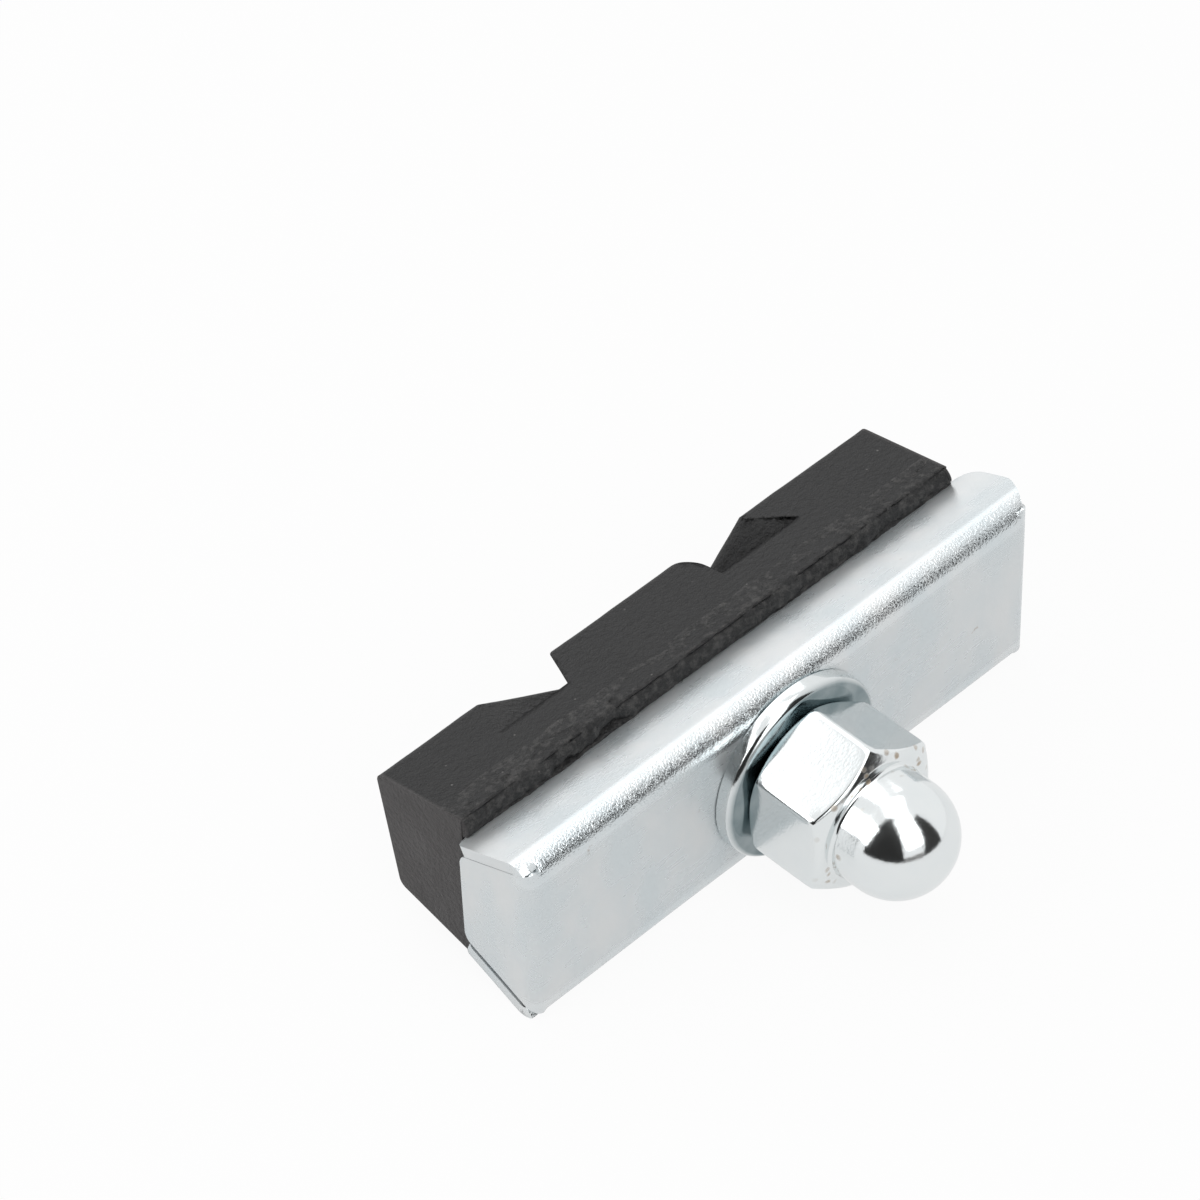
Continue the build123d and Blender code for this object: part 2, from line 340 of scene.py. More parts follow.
def press_marks(places):
    """Dents over cells stretched along X, and a bead in a ring at the upper end of the near slit."""
    dent_depth, dent_cell = 0.045 * MM, np.array([9.0, 3.5, 3.5]) * MM
    bead_height, bead_width, from_end, above_slit = 0.12 * MM, 0.30 * MM, 0.55 * MM, 0.1 * MM
    ring_depth, ring_radius, ring_width = 0.04 * MM, 0.62 * MM, 0.16 * MM
    dents = -dent_depth * (0.5 + 0.5 * lattice_noise(places, dent_cell, 3.0))
    slit_y, slit_z = bend_points(split_turn)
    bead = np.array([half_length - from_end, slit_y + above_slit, slit_z])
    away = np.linalg.norm(places * [-1, 1, 1] - bead, axis=1)
    bump_up = bead_height * np.exp(-((away / bead_width) ** 2))
    ring = ring_depth * np.exp(-(((away - ring_radius) / ring_width) ** 2))
    return dents + bump_up - ring


strips = [flange_end_skin(side, end) for side in (1, -1) for end in (1, -1)]
folded = mesh_from_grids("folded_holder", [body_skin(), *strips, tab_skin(1), tab_skin(-1)], merge=1e-6)
look_away(folded, Vector((0, 1, 0)))
push_along_normals(folded, press_marks)
wall = folded.modifiers.new("sheet", "SOLIDIFY")
wall.thickness = sheet
wall.offset = -1
edges = folded.modifiers.new("sheared edges", "BEVEL")
edges.width = 0.12 * MM
edges.segments = 2
edges.limit_method = "ANGLE"
edges.angle_limit = radians(40)
bake_modifiers(folded)
keep_inside(folded, holder_low, holder_high)
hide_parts("holder")
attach(folded, "root")
report(folded)

# %% [markdown]
# ## The cap nut
# A hexagon whose ends were turned on a lathe is a radius that depends on two things: the angle round
# the axis, for the six flats, and the place along the axis, for the turned cones. The smaller of the
# two radii wins. Taking a high power mean of them, in place of a plain minimum, softens every corner
# as tumbling and plating do.

# %% The cap nut's surface
nut_low, nut_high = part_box("cap_nut")
seat = -nut_high.y
dome_tip = -nut_low.y
across_flats = 10 * MM
nut_turn = radians(-2)
chamfer_angle = radians(30)
chamfer_circle = 4.65 * MM
cone_rise = (across_flats / sqrt(3) - chamfer_circle) * tan(chamfer_angle)
corner_height = 5.5 * MM
hex_front = seat + corner_height + cone_rise
dome_radius = 4 * MM
bore_radius = 3.05 * MM
bore_depth = 8.4 * MM
bore_roof = seat + bore_depth
neck_fillet = 0.25 * MM


def hex_radius(angle, power=52):
    """Radius of a hexagon with softened corners: the power mean of the six flats' nearness."""
    flats = nut_turn + np.arange(6) * pi / 3
    facing = np.clip(np.cos(angle[:, None] - flats), 1e-3, 1)
    return across_flats / 2 * np.sum(facing**power, axis=1) ** (-1 / power)


def softer_minimum(first, second, power=62):
    """The smaller of two lengths, blended where they are nearly equal."""
    return (first**-power + second**-power) ** (-1 / power)


def lathe_grid(radius, along):
    """Points round the stud's axis from radii, rows by columns, at distances along -Y."""
    angle = np.linspace(0, 2 * pi, radius.shape[1], endpoint=False)
    along = np.broadcast_to(along[:, None], radius.shape)
    return np.stack([radius * np.cos(angle), -along, radius * np.sin(angle)], axis=-1)


def nut_grid(columns=360):
    """Rows from the bore's roof down its wall, over the seat, up the hexagon, and over the dome."""
    angle = np.linspace(0, 2 * pi, columns, endpoint=False)
    side = np.concatenate([
        np.linspace(seat, seat + cone_rise, 18),
        np.linspace(seat + cone_rise, hex_front - cone_rise, 12)[1:-1],
        np.linspace(hex_front - cone_rise, hex_front, 18),
    ])
    cones = chamfer_circle + np.minimum(side - seat, hex_front - side) / tan(chamfer_angle)
    flats = np.broadcast_to(hex_radius(angle), (len(side), columns))
    hexagon = softer_minimum(flats, cones[:, None])
    turn = np.linspace(0, pi / 2, 7)
    fillet_radius = dome_radius + neck_fillet * (1 - np.sin(turn))
    fillet_along = hex_front + neck_fillet * (1 - np.cos(turn))
    dome_centre = dome_tip - dome_radius
    rise = np.linspace(0, pi / 2, 48)
    bore = np.array([1e-9, bore_radius, bore_radius, chamfer_circle])
    bore_along = [bore_roof, bore_roof, seat, seat]
    dome = np.concatenate([fillet_radius, dome_radius * np.cos(rise)])
    radius = np.concatenate([
        np.broadcast_to(bore[:, None], (len(bore), columns)),
        hexagon,
        np.broadcast_to(dome[:, None], (len(dome), columns)),
    ])
    along = np.concatenate([bore_along, side, fillet_along, dome_centre + dome_radius * np.sin(rise)])
    return lathe_grid(radius, along)


nut = mesh_from_grids("domed_cap_nut", [nut_grid()], ring=True, merge=1e-6)
face_outwards(nut)
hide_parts("cap_nut")
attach(nut, "root")
report(nut)

# %% [markdown]
# ## The washer
# Stamping rolls the washer's rim over on one side and leaves it sharper on the other. A lathe
# profile says this in a few rows.

# %% The washer's surface
washer_low, washer_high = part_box("washer")
washer_radius = washer_high.x
washer_bore = 3.2 * MM
washer_front = -washer_low.y
rolled_edge = 0.45 * MM
sharp_edge = 0.08 * MM


def quarter(centre_radius, centre_along, size, start, steps=9):
    """Radii and places of a quarter circle in a lathe profile, from a start angle in quarter turns."""
    turn = (start + np.linspace(0, 1, steps)) * pi / 2
    return centre_radius + size * np.sin(turn), centre_along - size * np.cos(turn)


def washer_grid(columns=240):
    """Rows round the washer's section: up the rim from the web's side, over it, and down the bore."""
    back = quarter(washer_radius - sharp_edge, sharp_edge, sharp_edge, 0)
    front = quarter(washer_radius - rolled_edge, washer_front - rolled_edge, rolled_edge, 1)
    face = np.linspace(washer_radius - rolled_edge, washer_bore + sharp_edge, 16)[1:-1]
    face_along = np.full(len(face), washer_front)
    hole_front = quarter(washer_bore + sharp_edge, washer_front - sharp_edge, sharp_edge, 2)
    hole_back = quarter(washer_bore + sharp_edge, sharp_edge, sharp_edge, 3)
    radius = np.concatenate([back[0], front[0], face, hole_front[0], hole_back[0], back[0][:1]])
    along = np.concatenate([back[1], front[1], face_along, hole_front[1], hole_back[1], back[1][:1]])
    return lathe_grid(np.broadcast_to(radius[:, None], (len(radius), columns)), along)


stamped = mesh_from_grids("stamped_washer", [washer_grid()], ring=True, merge=1e-6)
face_outwards(stamped)
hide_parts("washer")
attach(stamped, "root")
report(stamped)

# %% [markdown]
# ## The rubber block
# The block is one moulding with crossing grooves, undercut on one side, so it can't be a height over
# a plane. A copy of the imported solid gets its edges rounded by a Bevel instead, as a mould does, and is
# cut along even planes for more points. Numpy then works out how far each point of the copy moves.

# %% The rubber as a moulding
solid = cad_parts["rubber_block"]


def merged_copy(node, name):
    """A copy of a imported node's mesh with its loose triangles joined, and flat ones made one face."""
    work = bmesh.new()
    work.from_mesh(node.data)
    bmesh.ops.remove_doubles(work, verts=work.verts, dist=1e-6)
    bmesh.ops.dissolve_degenerate(work, edges=work.edges, dist=2e-6)
    bmesh.ops.dissolve_limit(work, angle_limit=radians(0.5), verts=work.verts, edges=work.edges)
    mesh = bpy.data.meshes.new(name)
    work.to_mesh(mesh)
    work.free()
    return in_scene(name, mesh)


def cut_evenly(piece, spacing):
    """Cuts the faces along planes across X, Y and Z, spacing apart, and drops no part of them."""
    with edited(piece.data) as work:
        for axis in range(3):
            level = [v.co[axis] for v in work.verts]
            for place in np.arange(min(level) + spacing / 2, max(level), spacing):
                point, normal = Vector((0, 0, 0)), Vector((0, 0, 0))
                point[axis], normal[axis] = place, 1
                parts = work.verts[:] + work.edges[:] + work.faces[:]
                bmesh.ops.bisect_plane(work, geom=parts, dist=1e-7, plane_co=point, plane_no=normal)
        bmesh.ops.triangulate(work, faces=work.faces)


rubber = merged_copy(solid, "moulded_rubber")
mould_edges = rubber.modifiers.new("mould radius", "BEVEL")
mould_edges.width = 0.22 * MM
mould_edges.segments = 3
mould_edges.limit_method = "ANGLE"
mould_edges.angle_limit = radians(28)
bake_modifiers(rubber)
cut_evenly(rubber, 0.5 * MM)

# %% [markdown]
# The sides are a little lumpy all over, as rubber that shrank in its mould is, and the sawn ends are
# flat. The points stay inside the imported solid's box.

# %% Soft lumps
rubber_low, rubber_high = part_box("rubber_block")


def soft_lumps(places):
    """Lumps from three sizes of noise, fading out on the sawn ends."""
    lump_height, mean_level, flat_end, fade = 0.02 * MM, 0.6, 0.1 * MM, 0.3 * MM
    lumps = lattice_noise(places, 3.4 * MM, 1.0) + 0.6 * lattice_noise(places, 1.3 * MM, 2.0)
    lumps += 0.3 * lattice_noise(places, 0.6 * MM, 4.0)
    moulded = np.clip((rubber_high.x - flat_end - np.abs(places[:, 0])) / fade, 0, 1)
    return lump_height * (lumps - mean_level) * moulded


push_along_normals(rubber, soft_lumps)
keep_inside(rubber, rubber_low, rubber_high)
smooth(rubber.data)
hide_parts("rubber_block")
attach(rubber, "root")
report(rubber)

# %% [markdown]
# Where the block steps out over the holder's lips, the mould halves met. The flash there was torn off
# by hand, which leaves a rough strip with splits in it, and in places the torn skin still hangs down
# over the lip. It is a band of its own with much finer points, carried along the edge of the step:
# its hidden side lies inside the block, and only its outer side gets the torn relief.

# %% The path round the edge of the step
block_step_y, block_half_step = 6.7 * MM, 6.0 * MM
face_y, half_face = 14.4 * MM, 4.5 * MM
side_slope = (block_half_step - half_face) / (face_y - block_step_y)
step_y = 6.25 * MM
half_step = block_half_step + side_slope * (block_step_y - step_y)
step_foot = 4.6 * MM
edge_round = 1.0 * MM
band_top = 9.2 * MM


def step_path(straight=26):
    """Y, Z and the outward normal from the block's side, round the step's edge, down towards the lip."""
    side_y = np.linspace(band_top, step_y + edge_round, straight)
    side_z = half_step - side_slope * (side_y - step_y)
    lean_angle = np.arctan(side_slope)
    turn = np.linspace(lean_angle, pi / 2, 9)[1:-1]
    corner_y = step_y + edge_round * (1 - np.sin(turn))
    corner_z = half_step - edge_round * (1 - np.cos(turn))
    down_z = np.linspace(half_step - edge_round, step_foot, straight)
    y = np.concatenate([side_y, corner_y, np.full(straight, step_y)])
    z = np.concatenate([side_z, corner_z, down_z])
    angle = np.concatenate([np.full(straight, lean_angle), turn, np.full(straight, pi / 2)])
    return y, z, -np.sin(angle), np.cos(angle)


def fade_in(x, start, length, least=0.0):
    """Rises evenly from least at start to 1 over a length in millimetres, which may run backwards."""
    return np.clip((x / MM - start) / length, least, 1)


def presence(x):
    """How much torn skin hangs at x: most near the sawn end, none by the nut, some at the far end."""
    near = fade_in(x, -17.6, 0.7) * fade_in(x, -6.3, -1.2)
    far = 0.55 * fade_in(x, 5.0, 0.5) * fade_in(x, 21.5, -4.0, least=0.35)
    return np.maximum(near, far)


def torn_relief(x, along):
    """Roughness, hollows and splits: x runs along the pad, along from 0 on the side to 1 at the lip."""
    flat = np.stack([x, 4 * MM * along + 0 * x, 0 * x], axis=-1)
    ragged = lattice_noise(flat, np.array([2.6, 1.4, 1.0]) * MM, 21.0)
    middling = lattice_noise(flat, np.array([0.8, 0.45, 1.0]) * MM, 22.0)
    fine = lattice_noise(flat, np.array([0.3, 0.2, 1.0]) * MM, 23.0)
    hang = presence(x)
    split_width, split_depth, swelling = 0.05, 0.75, 0.07
    start = 0.24 + 0.16 * ragged
    torn = np.clip((along - start) / 0.1, 0, 1)
    wander = 0.62 + 0.14 * lattice_noise(flat * [1, 0, 0], 2.2 * MM, 24.0)
    open_here = np.clip(1.5 * lattice_noise(flat * [1, 0, 0], 3.1 * MM, 25.0), 0, 1)
    split = np.exp(-(((along - wander) / split_width) ** 2)) * open_here
    lumps = (0.10 * ragged + 0.13 * middling + 0.08 * fine) * (0.45 + 0.55 * hang)
    return MM * torn * (swelling * hang + lumps - split_depth * split * (0.3 + 0.7 * hang))


def torn_band(side, rows=700, inset=0.06 * MM, hidden=8):
    """The band as a ring of columns: the torn outer path, then a hidden path back inside the block."""
    y, z, normal_y, normal_z = step_path()
    x = np.linspace(-1, 1, rows)[:, None] * (rubber_high.x - inset)
    along = np.linspace(0, 1, len(y))
    sunk = inset * np.clip(1 - 7 * along, 0, 1)
    grow = torn_relief(x + 0 * along, along + 0 * x) - sunk
    drape = presence(x) * np.clip((along - 0.72) / 0.28, 0, 1) ** 1.5
    drape = drape * (0.75 + 0.35 * lattice_noise((x + 0 * along)[..., None] * [1, 0, 0], 1.1 * MM, 31.0))
    outer_y = y + normal_y * grow - 0.42 * MM * drape
    outer_z = z + normal_z * grow + 0.05 * MM * drape
    inner_y = np.linspace(step_y + 0.9 * MM, 9.0 * MM, hidden)
    inner_z = np.linspace(step_foot, 5.0 * MM, hidden)
    full_y = np.concatenate([outer_y, inner_y + 0 * x], axis=1)
    full_z = np.concatenate([outer_z, inner_z + 0 * x], axis=1)
    grid = np.stack([x + 0 * full_y, full_y, side * full_z], axis=-1)
    cap = [row.mean(axis=0) + 0 * row for row in (grid[0], grid[-1])]
    return np.concatenate([cap[0][None], grid, cap[1][None]])


torn = mesh_from_grids("torn_flash", [torn_band(1), torn_band(-1)], ring=True, merge=1e-7)
face_outwards(torn)
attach(torn, "root")
report(torn)

# %% [markdown]
# ## Finishes
# Every finish is a small tree of nodes. One helper adds a node, sets its properties, and fills its
# inputs with numbers or links, so each material below reads as a list of what it is made of.

# %% Building node trees


def set_inputs(tree, node, inputs):
    """Fills each named input of a node with a value or with another node's output."""
    for key, value in inputs.items():
        if isinstance(value, bpy.types.NodeSocket):
            tree.links.new(value, node.inputs[key])
        else:
            node.inputs[key].default_value = value
    return node


def add_node(tree, kind, inputs=None, **settings):
    """Adds a node, sets its properties, and fills its inputs."""
    made = tree.nodes.new(kind)
    for key, value in settings.items():
        setattr(made, key, value)
    return set_inputs(tree, made, inputs or {})


def new_material(name):
    """A material with an empty tree, with its output node and its shader already linked."""
    material = bpy.data.materials.new(name)
    material.use_nodes = True
    tree = material.node_tree
    tree.nodes.clear()
    shader = tree.nodes.new("ShaderNodeBsdfPrincipled")
    output = tree.nodes.new("ShaderNodeOutputMaterial")
    tree.links.new(shader.outputs["BSDF"], output.inputs["Surface"])
    return material, tree, shader


def object_places(tree, scale=(1, 1, 1), turn=(0, 0, 0)):
    """Object coordinates, turned and stretched by a Mapping node."""
    coordinates = add_node(tree, "ShaderNodeTexCoord").outputs["Object"]
    mapped = {"Vector": coordinates, "Scale": scale, "Rotation": turn}
    return add_node(tree, "ShaderNodeMapping", mapped).outputs["Vector"]


def noise(tree, places, scale, detail=3.0, roughness=0.55):
    """A noise texture's value, with scale in features to the metre."""
    settings = {"Vector": places, "Scale": scale, "Detail": detail, "Roughness": roughness}
    return add_node(tree, "ShaderNodeTexNoise", settings).outputs["Fac"]


def ramp(tree, value, low, high, start=0.0, end=1.0):
    """Maps a value from low..high to start..end, held at the ends."""
    ranges = {"Value": value, "From Min": low, "From Max": high, "To Min": start, "To Max": end}
    return add_node(tree, "ShaderNodeMapRange", ranges).outputs["Result"]


def combine(tree, operation, first, second):
    """One Math node."""
    return add_node(tree, "ShaderNodeMath", {0: first, 1: second}, operation=operation).outputs[0]


def times(tree, *factors):
    """The product of two or more values."""
    product = factors[0]
    for factor in factors[1:]:
        product = combine(tree, "MULTIPLY", product, factor)
    return product


def distance_from(tree, value, place):
    """How far a coordinate lies from a place on its axis, to either side."""
    return combine(tree, "ABSOLUTE", combine(tree, "SUBTRACT", value, place), 0.0)


def spots(tree, places, scale, size, share):
    """Round spots in some cells of a Voronoi texture, each fading out over the range size from its middle."""
    cells = add_node(tree, "ShaderNodeTexVoronoi", {"Vector": places, "Scale": scale})
    draw = add_node(tree, "ShaderNodeSeparateColor", {"Color": cells.outputs["Color"]}).outputs[0]
    return times(tree, ramp(tree, cells.outputs["Distance"], *size, 1.0, 0.0), ramp(tree, draw, *share))


def mix_colour(tree, factor, first, second):
    """Blends two colours by a factor."""
    return add_node(tree, "ShaderNodeMix", {0: factor, 6: first, 7: second}, data_type="RGBA").outputs[2]


def bump(tree, height, distance, strength=1.0, normal=None):
    """A Bump node over a height, with its depth in metres."""
    inputs = {"Height": height, "Distance": distance, "Strength": strength}
    if normal is not None:
        inputs["Normal"] = normal
    return add_node(tree, "ShaderNodeBump", inputs).outputs["Normal"]


# %% [markdown]
# The colours were tuned until the render came near the photograph. The rubber's are darker than it
# looks there, because its sheen adds light. The names say what each one is on the object, or that it
# is painted shade or painted light.

# %% Colours, as linear red, green and blue
dull_zinc, pale_zinc = (0.635, 0.685, 0.705, 1), (0.71, 0.73, 0.735, 1)
bare_scratch, storage_rust = (0.88, 0.89, 0.90, 1), (0.30, 0.19, 0.10, 1)
dull_bright, pale_bright = (0.74, 0.78, 0.79, 1), (0.82, 0.84, 0.84, 1)
# The washer's dark teal tint is painted shade and painted reflection from the nut, not a real film.
painted_shade_tint, foot_rust = (0.15, 0.205, 0.22, 1), (0.33, 0.22, 0.11, 1)
dark_charcoal, light_charcoal = (0.023, 0.023, 0.0235, 1), (0.036, 0.036, 0.0365, 1)
# The crumb colour is partly real crumbs and partly painted light on the torn flash's shaded step.
crumb_and_painted_light, sawn_rubber, pale_dust = (0.16, 0.155, 0.15, 1), (0.078, 0.074, 0.074, 1), (0.32, 0.31, 0.30, 1)
paper_white, full_white = (0.86, 0.86, 0.86, 1), (1, 1, 1, 1)

# %% [markdown]
# Zinc plating is a pale, faintly blue metal with a satin sheen. Broad diagonal clouds change its
# gloss, hair-fine scratches run along it, and the crystals of the plating break up its reflections
# into grains, which show most where the sheet bends and dark meets light.

# %% Zinc-plated steel


def zinc_material():
    """Satin metal with cloudy gloss, fine grain, long scratches, and a few brown specks of storage rust."""
    material, tree, shader = new_material("zinc_plating")
    plain = object_places(tree)
    parts = add_node(tree, "ShaderNodeSeparateXYZ", {"Vector": plain})
    height = distance_from(tree, parts.outputs["Z"], 0.0)
    by_depth = ramp(tree, parts.outputs["Y"], 0.9 * MM, 1.7 * MM, 1.0, 0.0)
    on_bend = times(tree, by_depth, ramp(tree, height, web_half - 0.5 * MM, web_half - 0.1 * MM))
    clouds = noise(tree, object_places(tree, (1, 1, 0.5), (0, radians(25), radians(35))), 260, 3)
    streaks = noise(tree, object_places(tree, (0.12, 1, 1), (0, radians(8), 0)), 1500, 2)
    drawn_out = object_places(tree, (0.03, 1, 1), (0, radians(-14), radians(4)))
    scratches = ramp(tree, noise(tree, drawn_out, 5200, 2), 0.70, 0.78)
    stain_clouds = ramp(tree, noise(tree, plain, 330, 4, 0.7), 0.66, 0.74)
    stain_specks = ramp(tree, noise(tree, plain, 2600, 3, 0.6), 0.52, 0.62)
    stains = times(tree, stain_clouds, stain_specks, 0.55)
    tint = mix_colour(tree, ramp(tree, clouds, 0.35, 0.65), dull_zinc, pale_zinc)
    worn = mix_colour(tree, times(tree, scratches, 0.25), tint, bare_scratch)
    cloudy, streaky = ramp(tree, clouds, 0.3, 0.7, 0.24, 0.32), ramp(tree, streaks, 0.3, 0.7, -0.02, 0.03)
    gloss = times(tree, combine(tree, "ADD", cloudy, streaky), ramp(tree, on_bend, 0.0, 1.0, 1.0, 0.5))
    grain = times(tree, noise(tree, plain, 6200, 2, 0.6), ramp(tree, on_bend, 0.0, 1.0, 0.22, 1.0))
    set_inputs(tree, shader, {
        "Base Color": mix_colour(tree, stains, worn, storage_rust),
        "Roughness": combine(tree, "ADD", gloss, times(tree, stains, 0.3)),
        "Metallic": ramp(tree, on_bend, 0.0, 1.0, 0.62, 1.0),
        "Normal": bump(tree, scratches, 0.006 * MM, 0.5, bump(tree, grain, 0.05 * MM)),
    })
    return material


# %% [markdown]
# The nut and the washer carry the same plating over machined steel, so they are smoother and
# brighter. Specks of brown rust gather where the dome meets the hexagon, and the washer's face round
# the nut is darkened as painted shade and a painted reflection of the nut's shadow.

# %% Bright plating


def bright_material():
    """Glossy metal with faint pits, rust specks at the dome's foot, and painted shade round the nut's seat.
    """
    material, tree, shader = new_material("bright_plating")
    plain = object_places(tree)
    parts = add_node(tree, "ShaderNodeSeparateXYZ", {"Vector": plain})
    clouds = noise(tree, plain, 420, 3)
    from_foot = distance_from(tree, parts.outputs["Y"], -hex_front - 0.2 * MM)
    near_foot = ramp(tree, from_foot, 0.2 * MM, 0.9 * MM, 1.0, 0.0)
    stains = times(tree, spots(tree, plain, 1500.0, (0.22, 0.42), (0.60, 0.80)), near_foot, 0.75)
    off_axis = add_node(tree, "ShaderNodeCombineXYZ", {"X": parts.outputs["X"], "Y": parts.outputs["Z"]})
    from_axis = add_node(tree, "ShaderNodeVectorMath", {0: off_axis.outputs[0]}, operation="LENGTH")
    # Painted shade: the washer's face next to the nut is darkened where the nut's contact shadow and
    # reflection fall.
    round_nut = ramp(tree, from_axis.outputs["Value"], 6.15 * MM, 6.5 * MM, 1.0, 0.1)
    on_washer = ramp(tree, parts.outputs["Y"], -seat - 0.15 * MM, -seat - 0.02 * MM)
    painted_shade = times(tree, round_nut, on_washer, ramp(tree, clouds, 0.35, 0.65, 0.97, 0.75))
    tint = mix_colour(tree, painted_shade, mix_colour(tree, clouds, dull_bright, pale_bright), painted_shade_tint)
    gloss = ramp(tree, clouds, 0.3, 0.7, 0.09, 0.16)
    dimples = bump(tree, noise(tree, plain, 2600, 3, 0.65), 0.006 * MM, 0.6)
    pits = noise(tree, plain, 5600, 3, 0.6)
    set_inputs(tree, shader, {
        "Base Color": mix_colour(tree, stains, tint, foot_rust),
        "Roughness": combine(tree, "ADD", gloss, times(tree, stains, 0.4)),
        "Metallic": 1.0,
        "Normal": bump(tree, pits, 0.006 * MM, 0.6, dimples),
    })
    return material


# %% [markdown]
# Brake rubber is a charcoal that is never quite black. The mould gives its sides a fine leathery
# grain, dust clings to it as pale specks, and its sawn ends are paler and a touch warmer. The torn
# flash is the same rubber with pale crumbs on it, which also act as painted light that lifts its
# step where it faces down into shade.

# %% Moulded rubber


def rubber_material(name, dusting, crumb_and_light_share, grain_depth):
    """Charcoal rubber with a leathery grain, specks of dust, paler sawn ends, and pale crumbs that are partly
    painted light.
    """
    material, tree, shader = new_material(name)
    plain = object_places(tree)
    parts = add_node(tree, "ShaderNodeSeparateXYZ", {"Vector": plain})
    from_middle = distance_from(tree, parts.outputs["X"], 0.0)
    sawn = ramp(tree, from_middle, rubber_high.x - 0.25 * MM, rubber_high.x - 0.05 * MM)
    clouds = noise(tree, plain, 350, 4)
    moulded = mix_colour(tree, ramp(tree, clouds, 0.3, 0.7), dark_charcoal, light_charcoal)
    # Pale crumbs, partly painted light: they lighten the torn band where its step faces down into shade.
    crumbs_and_painted_light = ramp(tree, noise(tree, plain, 1900, 4, 0.7), 0.45, 0.68, 0.0, crumb_and_light_share)
    toned = mix_colour(tree, sawn, mix_colour(tree, crumbs_and_painted_light, moulded, crumb_and_painted_light), sawn_rubber)
    dust = spots(tree, plain, 1100.0, (0.05, 0.09), (dusting, dusting + 0.3))
    grain = noise(tree, object_places(tree, (0.8, 1, 1)), 2600, 3, 0.6)
    fine = noise(tree, plain, 9000, 2, 0.6)
    height = combine(tree, "ADD", times(tree, grain, 0.8), times(tree, fine, 0.3))
    set_inputs(tree, shader, {
        "Base Color": mix_colour(tree, times(tree, dust, 0.5), toned, pale_dust),
        "Roughness": ramp(tree, clouds, 0.3, 0.7, 0.50, 0.64),
        "Specular IOR Level": 0.25,
        "Normal": bump(tree, height, grain_depth),
    })
    return material


def wear(piece, material):
    """Gives a piece its only material."""
    piece.data.materials.clear()
    piece.data.materials.append(material)


zinc = zinc_material()
bright = bright_material()
wear(folded, zinc)
wear(nut, bright)
wear(stamped, bright)
wear(rubber, rubber_material("charcoal_rubber", 0.55, 0.0, 0.32 * MM))
# The torn band's pale crumbs are partly painted light, lifting its step that faces down into shade.
wear(torn, rubber_material("torn_rubber", 0.30, 0.40, 0.4 * MM))
wear(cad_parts["stud"], zinc)
print("Materials:", sorted(m.name for m in bpy.data.materials))

# %% [markdown]
# ## The studio
# Polished metal looks like what surrounds it. The pad lies on white paper in a white tent that is
# open towards the photographer, so the dome shows the dark room there as a patch, cut in two by a
# tall soft box. A dark edge of the tent to the right of that box is what draws the dark line along
# the holder's bend. The walls are patches of a ball round the object, seen in reflections alone.

# %% Directions and patches of the tent


def direction(azimuth, elevation):
    """The unit vector at an azimuth from +X towards +Y and an elevation, both in degrees."""
    a, e = np.radians(azimuth), np.radians(elevation)
    return np.stack([np.cos(e) * np.cos(a), np.cos(e) * np.sin(a), np.sin(e)], axis=-1)


def tent_patch(name, low_left, low_right, high_left, high_right, radius=0.75, steps=24):
    """A patch of a ball between four directions, given as azimuth and elevation, blended evenly."""
    across, rise = np.meshgrid(np.linspace(0, 1, steps), np.linspace(0, 1, steps))
    corners = [np.array(c, dtype=float) for c in (low_left, low_right, high_left, high_right)]
    low = corners[0] + across[..., None] * (corners[1] - corners[0])
    high = corners[2] + across[..., None] * (corners[3] - corners[2])
    angles = low + rise[..., None] * (high - low)
    return mesh_from_grids(name, [radius * direction(angles[..., 0], angles[..., 1])])


def dark_cloth(name, level):
    """A dull dark material of one level."""
    material = bpy.data.materials.new(name)
    material.use_nodes = True
    shader = material.node_tree.nodes["Principled BSDF"]
    shader.inputs["Base Color"].default_value = (level, level * 0.97, level * 0.95, 1)
    shader.inputs["Roughness"].default_value = 0.9
    return material


walls = {
    "dark_room": (tent_patch("dark_room", (-192, -1), (-122, -1), (-188, 76), (-128, 72)), 0.028),
    "tent_edge": (tent_patch("tent_edge", (-92, -3), (-53, -3), (-66, 58), (-46, 58)), 0.05),
    "tent_foot": (tent_patch("tent_foot", (-124, -2), (-90, -2), (-124, 7), (-90, 7)), 0.35),
}
for name, (wall_piece, level) in walls.items():
    wall_piece.data.materials.append(dark_cloth(name + "_cloth", level))
    wall_piece.visible_camera = False
    wall_piece.visible_diffuse = False
    wall_piece.visible_shadow = False
print("Tent walls:", sorted(walls))

# %% [markdown]
# The photograph was cut out on white, so the floor is paper that glows nearly white to the camera and
# keeps only a faint shadow. The world is white to the camera and to polished metal, and dimmer as a
# light, so the rubber stays dark while the metal mirrors a white tent.

# %% The floor and the world
floor_z = holder_low.z


def floor_material():
    """White paper that the camera and the metal see as nearly white, with the object's shadow kept."""
    material = bpy.data.materials.new("white_paper")
    material.use_nodes = True
    tree = material.node_tree
    tree.nodes.clear()
    paper = add_node(tree, "ShaderNodeBsdfDiffuse", {"Color": paper_white})
    white = add_node(tree, "ShaderNodeEmission", {"Color": full_white, "Strength": 1.0})
    path = add_node(tree, "ShaderNodeLightPath")
    to_camera = times(tree, path.outputs["Is Camera Ray"], 0.93)
    to_metal = times(tree, path.outputs["Is Glossy Ray"], 0.70)
    share = combine(tree, "MAXIMUM", to_camera, to_metal)
    share = combine(tree, "MAXIMUM", share, path.outputs["Is Transmission Ray"])
    mixed = add_node(tree, "ShaderNodeMixShader", {0: share, 1: paper.outputs[0], 2: white.outputs[0]})
    output = tree.nodes.new("ShaderNodeOutputMaterial")
    tree.links.new(mixed.outputs[0], output.inputs["Surface"])
    return material


floor_half = 1.2
corners = np.array([[[x, y, floor_z] for x in (-floor_half, floor_half)] for y in (-floor_half, floor_half)])
floor = mesh_from_grids("floor", [corners])
wear(floor, floor_material())

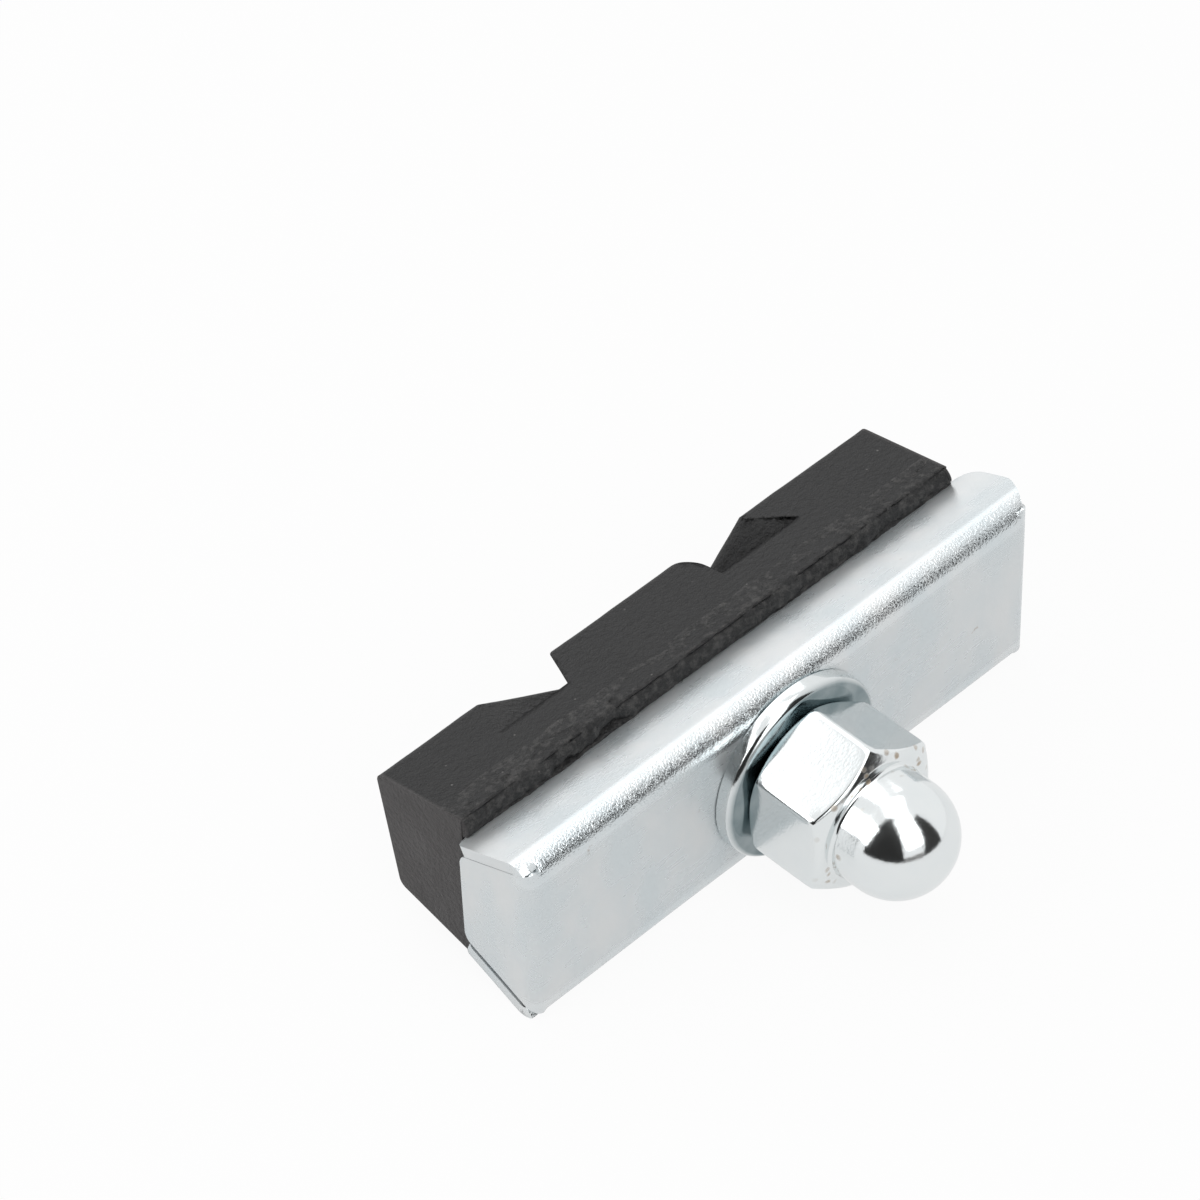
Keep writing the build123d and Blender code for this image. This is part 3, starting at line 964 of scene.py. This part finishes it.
world = bpy.data.worlds.new("white_tent")
bpy.context.scene.world = world
world.use_nodes = True
sky = world.node_tree
sky.nodes.clear()
path = add_node(sky, "ShaderNodeLightPath")
seen = combine(sky, "MAXIMUM", path.outputs["Is Camera Ray"], path.outputs["Is Glossy Ray"])
seen = combine(sky, "MAXIMUM", seen, path.outputs["Is Transmission Ray"])
brightness = ramp(sky, seen, 0.0, 1.0, 0.36, 1.0)
light = add_node(sky, "ShaderNodeBackground", {"Color": full_white, "Strength": brightness})
world_output = sky.nodes.new("ShaderNodeOutputWorld")
sky.links.new(light.outputs[0], world_output.inputs["Surface"])

# %% [markdown]
# Four soft boxes light the tent: one overhead, a large one behind the pad, one from the left for the
# sawn end, and the tall narrow one beside the camera. Each is given by its direction, its size and
# its brightness, where 1 is white, because that is what the metal shows of it.

# %% Soft boxes


def soft_box(name, azimuth, elevation, distance, width, height, level):
    """A rectangular area light in a direction, turned to the object, with a level where 1 is white."""
    lamp = bpy.data.lights.new(name, "AREA")
    lamp.shape = "RECTANGLE"
    lamp.size = width
    lamp.size_y = height
    lamp.energy = level * pi * width * height
    box = in_scene(name, lamp)
    box.location = Vector(direction(azimuth, elevation) * distance)
    box.rotation_euler = (-box.location).to_track_quat("-Z", "Y").to_euler()


soft_box("overhead_box", 60, 80, 0.60, 0.40, 0.40, 1.3)
soft_box("back_box", 90, 38, 0.62, 1.05, 0.50, 0.8)
soft_box("left_box", 160, 32, 0.60, 0.26, 0.40, 1.7)
soft_box("tall_box", -100, 49, 0.60, 0.38, 0.66, 1.5)

# %% [markdown]
# ## The camera
# The photograph was taken from the left, above the nut's side, with a long lens. These angles and
# distances were fitted to the nut, the washer and the corners of the holder.

# %% The camera at the photograph's place
azimuth, elevation, roll = radians(-42.345), radians(45.381), radians(-2.561)
distance = 309.988 * MM
origin_right, origin_below = 11.738 * MM, 9.883 * MM
back = Vector((sin(azimuth) * cos(elevation), -cos(azimuth) * cos(elevation), sin(elevation)))
level_right = Vector((cos(azimuth), sin(azimuth), 0))
level_up = back.cross(level_right)
right = level_right * cos(roll) + level_up * sin(roll)
up = level_up * cos(roll) - level_right * sin(roll)
place = back * distance - right * origin_right + up * origin_below
lens = bpy.data.cameras.new("camera")
lens.lens = 150
lens.sensor_width = 36
lens.clip_start, lens.clip_end = 0.01, 10
camera = in_scene("camera", lens)
camera.matrix_world = Matrix((
    (right.x, up.x, back.x, place.x),
    (right.y, up.y, back.y, place.y),
    (right.z, up.z, back.z, place.z),
    (0, 0, 0, 1),
))
bpy.context.scene.camera = camera
bpy.context.scene.view_settings.view_transform = "Standard"
print("Camera at", [round(v / MM, 1) for v in camera.matrix_world.translation], "mm")
